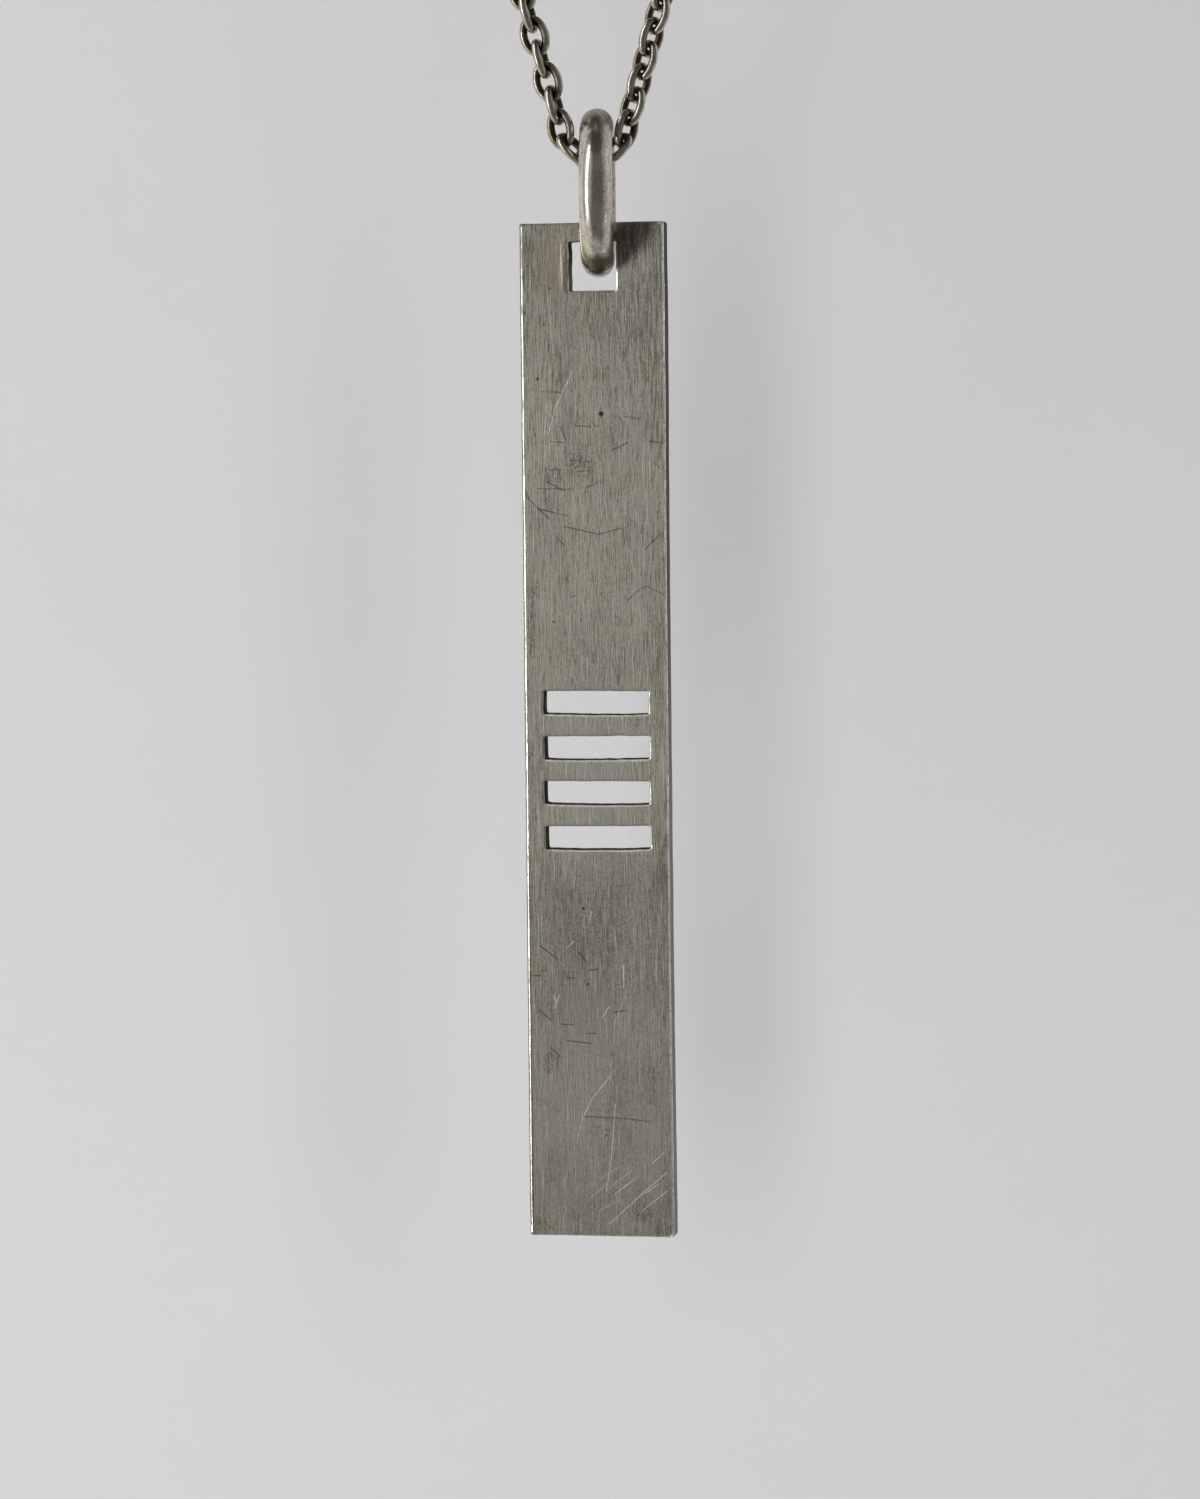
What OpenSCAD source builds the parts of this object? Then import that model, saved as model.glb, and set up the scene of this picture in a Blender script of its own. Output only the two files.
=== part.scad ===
// Plate necklace: an oxidised silver bar with a square hole and four sawn slots, hung by a
// heavy ring on a fine cable chain that closes behind the neck. Millimetres.
// The whole loop hangs in the plane of X and Z, front at -Y, with the top of the loop at the origin.

/* [Plate] */
// length of the bar
plate_length = 70; // [50:0.5:90]
// width across the bar
plate_width = 10; // [8:0.1:14]
// thickness of the sheet
plate_thickness = 1.5; // [1:0.1:2]
// worn bevel along every edge
plate_bevel = 0.13; // [0.05:0.01:0.3]
// worn corner at the top left
corner_top_left = 0.2; // [0.15:0.01:0.5]
// worn corner at the top right
corner_top_right = 0.16; // [0.15:0.01:0.5]
// worn corner at the bottom left
corner_low_left = 0.34; // [0.15:0.01:0.5]
// worn corner at the bottom right
corner_low_right = 0.22; // [0.15:0.01:0.5]
// turn of the bar about its own length as it hangs, its right edge towards the front
plate_twist = 10.5; // [6:0.5:12]
// how far the bar hangs to the left of the chain's middle
plate_shift = 0.12; // [0:0.01:0.15]

/* [Square hole] */
// width of the hole that the ring passes through
hole_width = 3.3; // [3.3:0.05:4]
// height of the hole
hole_height = 3.42; // [3:0.05:4]
// metal left above the hole
hole_bar = 1.25; // [1:0.05:2]

/* [Slots] */
// number of slots
slots = 4; // [1:1:6]
// width of a sawn slot
slot_width = 7.42; // [6:0.1:8]
// height of a slot
slot_height = 1.56; // [1:0.02:2]
// distance from one slot to the next
slot_pitch = 3.12; // [2.6:0.02:4]
// top of the first slot below the top of the bar
slot_drop = 32.3; // [20:0.1:40]
// sag of a slot's lower edge, left by the saw
slot_sag = 0.07; // [0:0.01:0.15]
// how far the row of slots sits off the middle, to the left
slot_offset = 0.06; // [0:0.01:0.2]
// unevenness from one slot to the next
slot_wander = 0.04; // [0:0.01:0.08]
// corner left uncut by the saw
saw_corner = 0.12; // [0.05:0.01:0.2]

/* [Ring] */
// distance from the ring's axis to the middle of its wire
ring_radius = 4.65; // [4:0.05:5.5]
// radius of the round wire
ring_wire = 1.13; // [1:0.01:1.15]
// how far the ring hangs to the right of the chain's middle
ring_shift = 0.19; // [0:0.01:0.2]
// turn of the ring about its upright, its front to the left
ring_turn = 1.8; // [0:0.1:3]
// clearance between the ring and the bar that hangs on it
ring_gap = 0.23; // [0.2:0.01:0.3]
// play between the ring's wire and the turn of the chain
ring_lift = 0.05; // [0.04:0.01:0.1]

/* [Chain] */
// middle of the end wire from the middle of a link
link_reach = 1.16; // [1.15:0.01:1.18]
// middle of the side wire from the middle of a link
link_half_width = 0.77; // [0.75:0.01:0.8]
// radius of the round end of a link
link_end_radius = 0.62; // [0.6:0.01:0.66]
// radius of the link's wire
link_wire = 0.28; // [0.24:0.01:0.28]
// distance from one link to the next
link_pitch = 1.615; // [1.6:0.005:1.62]
// links on each side of the lowest one that are solids of their own
front_links = 10; // [6:1:14]

/* [Loop] */
// radius of the turn that carries the ring
turn_radius = 2.22; // [2.2:0.01:2.4]
// lean of each strand from upright at the ring
strand_angle = 15.7; // [12:0.1:20]
// strand from the turn to the curve round the neck
strand_length = 230; // [150:1:300]
// size of the curve that the strands hang in
strand_curve = 150; // [120:1:300]
// distance along the loop from its lowest point to the fourth link on the left
left_run = 6.66; // [6.6:0.01:6.7]
// the same on the right
right_run = 6.5; // [6.45:0.01:6.55]
// flat sides of the hidden chain's round section
back_sides = 12; // [8:1:12]
// sections along each side of the hidden chain
back_sections = 44; // [20:1:78]

/* [Clasp] */
// middle of the clasp's round body to the middle of its wire
clasp_radius = 2.7; // [2.4:0.1:3.5]
// radius of the clasp's body wire
clasp_wire = 0.8; // [0.6:0.05:1]
// middle of the clasp's eye to the middle of its wire
eye_radius = 1.1; // [1:0.05:1.3]
// radius of the eye's wire
eye_wire = 0.4; // [0.3:0.05:0.5]
// middle of a jump ring to the middle of its wire
jump_radius = 1.75; // [1.7:0.05:2]
// radius of a jump ring's wire
jump_wire = 0.3; // [0.25:0.01:0.32]
// small gap kept where two rings hook together
hook_gap = 0.15; // [0.1:0.01:0.2]
// how far the clasp's body sits to the right of the top of the loop
clasp_at = 1.55; // [1:0.05:2]
// depth that the eye is sunk in the body's wire
eye_sink = 0.7; // [0.5:0.05:0.9]
// radius of the thumb knob
knob_radius = 0.42; // [0.3:0.01:0.5]
// height of the thumb knob over the body's wire
knob_height = 0.75; // [0.5:0.05:1]
// place of the thumb knob round the body
knob_angle = 62; // [40:1:100]

/* [View] */
// piece to draw, or all

/* [Hidden] */
$fn = 48;
silver = [0.45, 0.44, 0.40];

// Path of the chain, from its lowest point up one side, in three runs: turn, strand and arch.
turn_run = turn_radius * (90 - strand_angle) * PI / 180;
curve_start = strand_curve / tan(strand_angle);
function asinh(v) = ln(v + sqrt(v * v + 1));
function strand_x(u) = turn_radius * cos(strand_angle)
    + strand_curve * (asinh((u + curve_start) / strand_curve) - asinh(curve_start / strand_curve));
function strand_z(u) = turn_radius * (1 - sin(strand_angle))
    + norm([strand_curve, u + curve_start]) - norm([strand_curve, curve_start]);
function strand_lean(u) = atan(strand_curve / (u + curve_start));
end_lean = strand_lean(strand_length);
arch_radius = strand_x(strand_length) / cos(end_lean);
arch_height = strand_z(strand_length) + arch_radius * sin(end_lean);
half_run = turn_run + strand_length + arch_radius * (90 + end_lean) * PI / 180;
loop_height = arch_height + arch_radius;

// x, height over the lowest point and lean from upright at a run s, on the right-hand side
function path_at(s) =
    s < turn_run
        ? let (w = s / turn_radius * 180 / PI)
          [turn_radius * sin(w), turn_radius * (1 - cos(w)), 90 - w]
    : s < turn_run + strand_length
        ? let (u = s - turn_run) [strand_x(u), strand_z(u), strand_lean(u)]
    : let (w = (s - turn_run - strand_length) / arch_radius * 180 / PI - end_lean)
      [arch_radius * cos(w), arch_height + arch_radius * sin(w), -w];

// The same for either side: side is 1 on the right and -1 on the left.
function side_at(side, s) = let (p = path_at(s)) [side * p[0], p[1], side > 0 ? p[2] : 180 - p[2]];

// Links bent round the ring, read from the photograph and eased until they clear each other.
// number, x, y, height over the lowest point, lean from upright, turn about its own length
turn_links = [
    [-3, -2.70, -0.03, 3.65, 165.4, 112.3],
    [-2, -2.31, -0.08, 2.02, 169.1, 32.3],
    [-1, -1.45, -0.24, 0.63, 134, 124.6],
    [0, 0, 0, 0, 90, 45],
    [1, 1.42, -0.24, 0.60, 47, 128],
    [2, 2.22, -0.05, 1.95, 13, 47],
    [3, 2.65, 0, 3.53, 17, 135],
];
// turn of the links about the strand, left and right, as the chain is twisted in the photograph
left_roll = 17;
right_roll = 45;

function link_run(i) = (i < 0 ? left_run : right_run) + (abs(i) - 4) * link_pitch;
function link_place(i) =
    abs(i) <= 3 ? turn_links[i + 3]
    : let (p = side_at(sign(i), link_run(i)))
      [i, p[0], 0, p[1], p[2], (i < 0 ? left_roll : right_roll) + 90 * (abs(i) % 2)];

// side arc of the oval that meets the round ends without a corner
side_radius = (pow(link_reach - link_end_radius, 2) + pow(link_half_width, 2)
    - pow(link_end_radius, 2)) / (2 * (link_half_width - link_end_radius));
side_sweep = atan2(link_reach - link_end_radius, side_radius - link_half_width);

// heights over the lowest point of the chain
ring_top = turn_radius + ring_lift;
ring_middle = ring_top - ring_radius;
ring_low = ring_middle - ring_radius;
hole_top = ring_low + ring_wire + ring_gap;
plate_top = hole_top + hole_bar;

// the clasp's parts in a row along the arch, measured from its top
eye_step = clasp_radius + clasp_wire + eye_wire - eye_sink + eye_radius;
eye_jump_at = clasp_at - eye_step - eye_radius + (eye_wire + jump_wire + hook_gap) - jump_radius;
body_jump_at = clasp_at + clasp_radius - (clasp_wire + jump_wire + hook_gap) + jump_radius;
link_hook = jump_radius - (jump_wire + link_wire + hook_gap) + link_reach;
left_end_at = eye_jump_at - link_hook;
right_end_at = body_jump_at + link_hook;
end_clear = link_reach + link_wire + hook_gap;

module low() { translate([0, 0, -loop_height]) children(); }

module on_arch(along) {
    w = along / arch_radius * 180 / PI;
    translate([arch_radius * sin(w), 0, arch_radius * cos(w) - arch_radius])
        rotate([0, w, 0]) children();
}

// Square hole and slots are cut by hand: corners are small facets and lower edges sag.
module sawn(wide, high, sag, lean) {
    c = saw_corner;
    w = wide / 2;
    third = wide / 6;
    polygon([
        [-w, -c], [-w + c / 2, 0], [w - c, lean], [w, lean - c],
        [w, -high + c], [w - c, -high], [third, -high - sag],
        [-third, -high - sag], [-w + c / 2, -high], [-w, -high + c],
    ]);
}

module upright(depth) { rotate([90, 0, 0]) translate([0, 0, -depth / 2]) linear_extrude(depth) children(); }

module plate() {
    w = plate_width / 2;
    t = plate_thickness / 2;
    b = plate_bevel;
    long = plate_length;
    through = plate_thickness * 2;
    color(silver) low() translate([-plate_shift, 0, plate_top]) rotate([0, 0, -plate_twist])
        difference() {
            intersection() {
                translate([0, 0, -long]) linear_extrude(long)
                    polygon([[-w, -t + b], [-w + b, -t], [w - b, -t], [w, -t + b],
                        [w, t - b], [w - b, t], [-w + b, t], [-w, t - b]]);
                rotate([90, 0, 90]) translate([0, 0, -plate_width]) linear_extrude(plate_width * 2)
                    polygon([[-t, -b], [b - t, 0], [t - b, 0], [t, -b],
                        [t, b - long], [t - b, -long], [b - t, -long], [-t, b - long]]);
                upright(through)
                    polygon([[-w, -corner_top_left], [corner_top_left - w, 0],
                        [w - corner_top_right, 0], [w, -corner_top_right],
                        [w, corner_low_right - long], [w - corner_low_right, -long],
                        [corner_low_left - w, -long], [-w, corner_low_left - long]]);
            }
            upright(through) translate([0, -hole_bar]) sawn(hole_width, hole_height, 0, 0);
            for (k = [0:slots - 1]) let (odd = k % 2)
                upright(through)
                    translate([slot_wander * odd - slot_offset, -slot_drop - k * slot_pitch])
                        sawn(slot_width, slot_height, slot_sag, slot_wander * (odd - 0.5));
        }
}

module ring() {
    color(silver) low() translate([ring_shift, 0, ring_middle]) rotate([0, 0, -ring_turn])
        rotate([0, 90, 0]) rotate_extrude() translate([ring_radius, 0]) circle(ring_wire);
}

module link_side() {
    translate([link_half_width - side_radius, 0, 0]) rotate([0, 0, -side_sweep])
        rotate_extrude(angle = 2 * side_sweep) translate([side_radius, 0]) circle(link_wire);
}

module link_end() {
    translate([0, link_reach - link_end_radius, 0]) rotate([0, 0, side_sweep])
        rotate_extrude(angle = 180 - 2 * side_sweep) translate([link_end_radius, 0]) circle(link_wire);
}

module link() {
    rotate([90, 0, 0]) {
        link_side();
        link_end();
        rotate([0, 0, 180]) link_side();
        rotate([0, 0, 180]) link_end();
    }
}

module front_link(i) {
    p = link_place(i);
    color(silver) low() translate([p[1], p[2], p[3]]) rotate([0, p[4], 0]) rotate([0, 0, p[5]]) link();
}

// The hidden chain keeps the outer size of its links. scene.py puts the links in its place.
module back_chain(side) {
    start = link_run(side * front_links) + end_clear;
    stop = half_run - (side > 0 ? right_end_at : -left_end_at) - end_clear;
    r = link_half_width + link_wire;
    rings = [for (k = [0:back_sections - 1])
        let (p = side_at(side, start + (stop - start) * k / (back_sections - 1)))
        [for (j = [0:back_sides - 1])
            let (a = 360 * j / back_sides)
            [p[0] + r * cos(a) * cos(p[2]), r * sin(a), p[1] - r * cos(a) * sin(p[2])]]];
    last = (back_sections - 1) * back_sides;
    color(silver) low() polyhedron(
        points = [for (ring_points = rings) for (q = ring_points) q],
        faces = concat(
            [[for (j = [0:back_sides - 1]) j]],
            [for (k = [0:back_sections - 2]) for (j = [0:back_sides - 1])
                let (n = (j + 1) % back_sides, a = k * back_sides)
                [a + j, a + back_sides + j, a + back_sides + n, a + n]],
            [[for (j = [back_sides - 1:-1:0]) last + j]]),
        convexity = 4);
}

module clasp() {
    color(silver) on_arch(clasp_at) rotate([90, 0, 0]) {
        rotate_extrude() translate([clasp_radius, 0]) circle(clasp_wire);
        translate([-eye_step, 0, 0]) rotate_extrude() translate([eye_radius, 0]) circle(eye_wire);
        rotate([0, 0, knob_angle]) translate([clasp_radius, 0, 0])
            rotate([0, 90, 0]) cylinder(h = clasp_wire + knob_height, r = knob_radius);
    }
}

module jump_ring(along) {
    color(silver) on_arch(along) rotate_extrude() translate([jump_radius, 0]) circle(jump_wire);
}

module end_link(along) { color(silver) on_arch(along) rotate([0, 90, 0]) link(); }

front_names = [for (i = [-front_links:front_links])
    str("link_", i < 0 ? "left_" : i > 0 ? "right_" : "low", i == 0 ? "" : str(abs(i)))];

plate();
ring();
for (i = [-front_links:front_links])
    front_link(i);
back_chain(-1);  // back_chain_left
back_chain(1);  // back_chain_right
end_link(left_end_at);  // end_link_left
end_link(right_end_at);  // end_link_right
jump_ring(eye_jump_at);  // jump_ring_left
jump_ring(body_jump_at);  // jump_ring_right
clasp();
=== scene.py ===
import bpy
import bmesh
import math
from mathutils import Matrix, Vector, noise


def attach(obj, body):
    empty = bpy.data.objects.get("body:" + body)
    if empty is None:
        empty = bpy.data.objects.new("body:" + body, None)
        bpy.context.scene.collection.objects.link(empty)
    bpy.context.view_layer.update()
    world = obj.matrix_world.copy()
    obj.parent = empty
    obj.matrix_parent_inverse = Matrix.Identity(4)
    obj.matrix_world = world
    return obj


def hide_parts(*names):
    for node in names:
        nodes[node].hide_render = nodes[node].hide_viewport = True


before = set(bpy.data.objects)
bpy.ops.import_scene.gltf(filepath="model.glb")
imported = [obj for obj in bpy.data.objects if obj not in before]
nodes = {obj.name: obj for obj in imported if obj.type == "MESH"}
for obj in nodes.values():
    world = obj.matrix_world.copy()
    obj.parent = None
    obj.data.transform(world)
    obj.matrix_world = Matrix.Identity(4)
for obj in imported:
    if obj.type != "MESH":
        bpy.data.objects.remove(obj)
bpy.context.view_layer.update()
mm = 0.001
print("frame loaded with", len(nodes), "nodes")

# the photograph's view, in millimetres and degrees
view = {
    "target": (0.0, 0.0, -332.43), "height": 103.8, "lens": 120.0, "sensor": 36.0,
    "elevation": 3.5, "roll": 0.54,
}


def makeCamera():
    data = bpy.data.cameras.new("photoCamera")
    data.lens = view["lens"]
    data.sensor_width = view["sensor"]
    data.clip_start = 0.01
    data.clip_end = 30.0
    camera = bpy.data.objects.new("photoCamera", data)
    bpy.context.scene.collection.objects.link(camera)
    rise = math.radians(view["elevation"])
    away = Vector((0.0, -math.cos(rise), math.sin(rise))) * view["height"] / view["sensor"] * view["lens"]
    turn = (-away).to_track_quat("-Z", "Y").to_matrix().to_4x4()
    turn = turn @ Matrix.Rotation(-math.radians(view["roll"]), 4, "Z")
    camera.matrix_world = Matrix.Translation((Vector(view["target"]) + away) * mm) @ turn
    bpy.context.scene.camera = camera


makeCamera()
bpy.context.scene.view_settings.view_transform = "Standard"


# small helpers for materials
def nodeMaker(tree):
    def make(kind, inputs=None, **settings):
        node = tree.nodes.new("ShaderNode" + kind)
        for key, value in settings.items():
            setattr(node, key, value)
        for key, value in (inputs or {}).items():
            if isinstance(value, bpy.types.NodeSocket):
                tree.links.new(value, node.inputs[key])
            else:
                node.inputs[key].default_value = value
        return node
    return make


def startMaterial(name):
    material = bpy.data.materials.new(name)
    material.use_nodes = True
    material.node_tree.nodes.clear()
    make = nodeMaker(material.node_tree)
    place = make("TexCoord").outputs["Object"]
    place = make("VectorMath", {0: place, "Scale": 1000.0}, operation="SCALE").outputs[0]  # in mm
    return material, make, place


def calc(make, operation, first, second=0.0, clamp=False):
    return make("Math", {0: first, 1: second}, operation=operation, use_clamp=clamp).outputs[0]


def fade(make, value, low, high, start=0.0, end=1.0):
    return make("MapRange", {"Value": value, "From Min": low, "From Max": high, "To Min": start,
                             "To Max": end}, interpolation_type="SMOOTHSTEP").outputs[0]


def times(make, first, second, clamp=False):
    return calc(make, "MULTIPLY", first, second, clamp)


def plus(make, first, second, clamp=False):
    return calc(make, "ADD", first, second, clamp)


def gather(make, operation, values):
    # joins the values one by one, in the order in which they are made
    total = None
    for value in values:
        total = value if total is None else calc(make, operation, total, value)
    return total


def squash(make, place, sizes):
    return make("VectorMath", {0: place, 1: sizes}, operation="MULTIPLY").outputs[0]


def apart(make, first, second):
    return make("VectorMath", {0: first, 1: second}, operation="DISTANCE").outputs["Value"]


def marked(make, name):
    return make("Attribute", attribute_name=name).outputs["Fac"]


def grain(make, place, stretch, detail=3.0, rough=0.55, shift=(0.0, 0.0, 0.0)):
    spot = make("VectorMath", {0: place, 1: stretch, 2: shift}, operation="MULTIPLY_ADD").outputs[0]
    return make("TexNoise", {"Vector": spot, "Scale": 1.0, "Detail": detail, "Roughness": rough}).outputs[0]


def blend(make, share, first, second):
    node = make("Mix", {"Factor": share}, data_type="RGBA")
    for socket, value in ((node.inputs[6], first), (node.inputs[7], second)):
        if isinstance(value, bpy.types.NodeSocket):
            node.id_data.links.new(value, socket)
        else:
            socket.default_value = (*value, 1.0)
    return node.outputs[2]


def finishMetal(material, make, colour, roughness, height, bump, rimShine=1.0):
    lift = make("Bump", {"Strength": 1.0, "Distance": bump * mm, "Height": height}).outputs[0]
    shader = make("BsdfPrincipled", {
        "Base Color": colour, "Roughness": roughness, "Metallic": 1.0, "Normal": lift,
        "Specular Tint": (rimShine, rimShine, rimShine, 1.0)})
    make("OutputMaterial", {"Surface": shader.outputs[0]})
    return material


def addPiece(name, points, faces, material, marks=None):
    mesh = bpy.data.meshes.new(name)
    mesh.from_pydata([Vector(p) * mm for p in points], [], faces)
    mesh.polygons.foreach_set("use_smooth", [True] * len(faces))
    for mark, values in (marks or {}).items():
        mesh.attributes.new(mark, "FLOAT", "POINT").data.foreach_set("value", values)
    mesh.materials.append(material)
    mesh.update()
    piece = bpy.data.objects.new(name, mesh)
    bpy.context.scene.collection.objects.link(piece)
    return piece


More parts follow.
